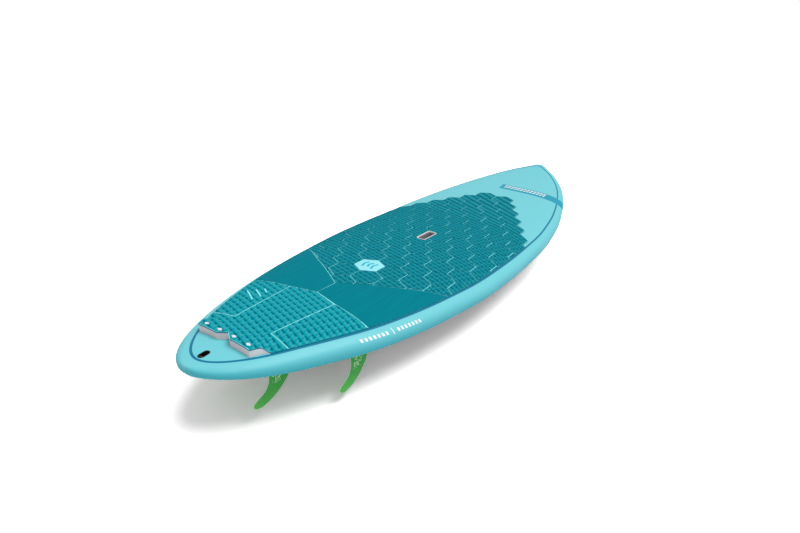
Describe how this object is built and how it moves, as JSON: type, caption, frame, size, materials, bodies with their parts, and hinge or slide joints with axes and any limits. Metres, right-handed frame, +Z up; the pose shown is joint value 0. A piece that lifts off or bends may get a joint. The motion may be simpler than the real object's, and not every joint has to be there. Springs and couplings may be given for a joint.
{
  "type": "stand up paddleboard",
  "caption": "Rigid stand up paddleboard with a rounded tail, sectioned foam deck pad with a tail kick, recessed carry handle, leash plug and removable swept fins.",
  "frame": {"origin": "mid-length, on the centreline, at the lowest point of the bottom", "axes": "+X to the nose, +Y to port, +Z up from the bottom to the deck"},
  "size_m": [2.642, 0.813, 0.3034],
  "materials": {
    "eps_foam": "expanded bead foam",
    "stringer_wood": "sanded",
    "bottom_laminate": "satin paint over glass laminate",
    "deck_laminate": "satin paint over glass laminate",
    "handle_plastic": "moulded, satin",
    "vent_plastic": "moulded",
    "vent_metal": "turned",
    "seal_rubber": "matte",
    "membrane": "felted",
    "leash_plastic": "moulded",
    "stainless_steel": "ground",
    "textured_foam": "embossed foam",
    "emblem_foam": "smooth foam",
    "smooth_foam": "brushed foam",
    "riser_foam": "cut foam",
    "fin_box_plastic": "moulded",
    "fin_composite": "glass laminate with a clear edge"
  },
  "bodies": {
    "board": {"foam_core_left": "eps_foam", "foam_core_right": "eps_foam", "stringer": "stringer_wood", "bottom_skin": "bottom_laminate", "deck_skin": "deck_laminate", "handle_well": "handle_plastic", "vent_housing": "vent_plastic", "vent_membrane": "membrane", "leash_cup": "leash_plastic", "leash_bar": "stainless_steel", "front_pad": "textured_foam", "emblem_inlay": "emblem_foam", "smooth_panel_left": "smooth_foam", "smooth_panel_right": "smooth_foam", "tail_pad_centre": "textured_foam", "tail_pad_left": "textured_foam", "tail_pad_right": "textured_foam", "kick_riser": "riser_foam", "front_left_fin_box": "fin_box_plastic", "front_right_fin_box": "fin_box_plastic", "rear_left_fin_box": "fin_box_plastic", "rear_right_fin_box": "fin_box_plastic"},
    "front_left_fin": {"front_left_fin": "fin_composite"},
    "front_right_fin": {"front_right_fin": "fin_composite"},
    "rear_left_fin": {"rear_left_fin": "fin_composite"},
    "rear_right_fin": {"rear_right_fin": "fin_composite"},
    "front_left_fin_screw": {"front_left_fin_screw": "stainless_steel"},
    "front_right_fin_screw": {"front_right_fin_screw": "stainless_steel"},
    "rear_left_fin_screw": {"rear_left_fin_screw": "stainless_steel"},
    "rear_right_fin_screw": {"rear_right_fin_screw": "stainless_steel"},
    "vent_seal": {"vent_oring": "seal_rubber"},
    "vent_screw": {"vent_screw": "vent_metal"}
  },
  "joints": [
    {"name": "front_left_fin_slide", "type": "slide", "parent": "board", "child": "front_left_fin", "axis": [-0.0999, 0.1093, -0.989], "range_m": [0, 0.03]},
    {"name": "front_right_fin_slide", "type": "slide", "parent": "board", "child": "front_right_fin", "axis": [-0.0999, -0.1093, -0.989], "range_m": [0, 0.03]},
    {"name": "rear_left_fin_slide", "type": "slide", "parent": "board", "child": "rear_left_fin", "axis": [-0.1291, 0.0737, -0.9889], "range_m": [0, 0.03]},
    {"name": "rear_right_fin_slide", "type": "slide", "parent": "board", "child": "rear_right_fin", "axis": [-0.1291, -0.0737, -0.9889], "range_m": [0, 0.03]},
    {"name": "front_left_fin_screw_turn", "type": "hinge", "parent": "board", "child": "front_left_fin_screw", "pos_m": [-0.84556, 0.21039, 0.03219], "axis": [0.0431, -0.7221, 0.6904], "range_deg": [0, 720]},
    {"name": "front_right_fin_screw_turn", "type": "hinge", "parent": "board", "child": "front_right_fin_screw", "pos_m": [-0.84556, -0.21039, 0.03219], "axis": [0.0431, 0.7221, 0.6904], "range_deg": [0, 720]},
    {"name": "rear_left_fin_screw_turn", "type": "hinge", "parent": "board", "child": "rear_left_fin_screw", "pos_m": [-1.06127, 0.09309, 0.04901], "axis": [0.0765, -0.6973, 0.7127], "range_deg": [0, 720]},
    {"name": "rear_right_fin_screw_turn", "type": "hinge", "parent": "board", "child": "rear_right_fin_screw", "pos_m": [-1.06127, -0.09309, 0.04901], "axis": [0.0765, 0.6973, 0.7127], "range_deg": [0, 720]},
    {"name": "vent_seal_lift", "type": "slide", "parent": "board", "child": "vent_seal", "axis": [0, 0, 1], "range_m": [0, 0.0025]},
    {"name": "vent_screw_turn", "type": "hinge", "parent": "vent_seal", "child": "vent_screw", "pos_m": [-0.141, 0, 0.07647], "axis": [0, 0, 1], "range_deg": [0, 720]}
  ],
  "couplings": [
    {"joint": "vent_screw_turn", "follows": "vent_seal_lift", "rad_per_m": 5026.5}
  ]
}
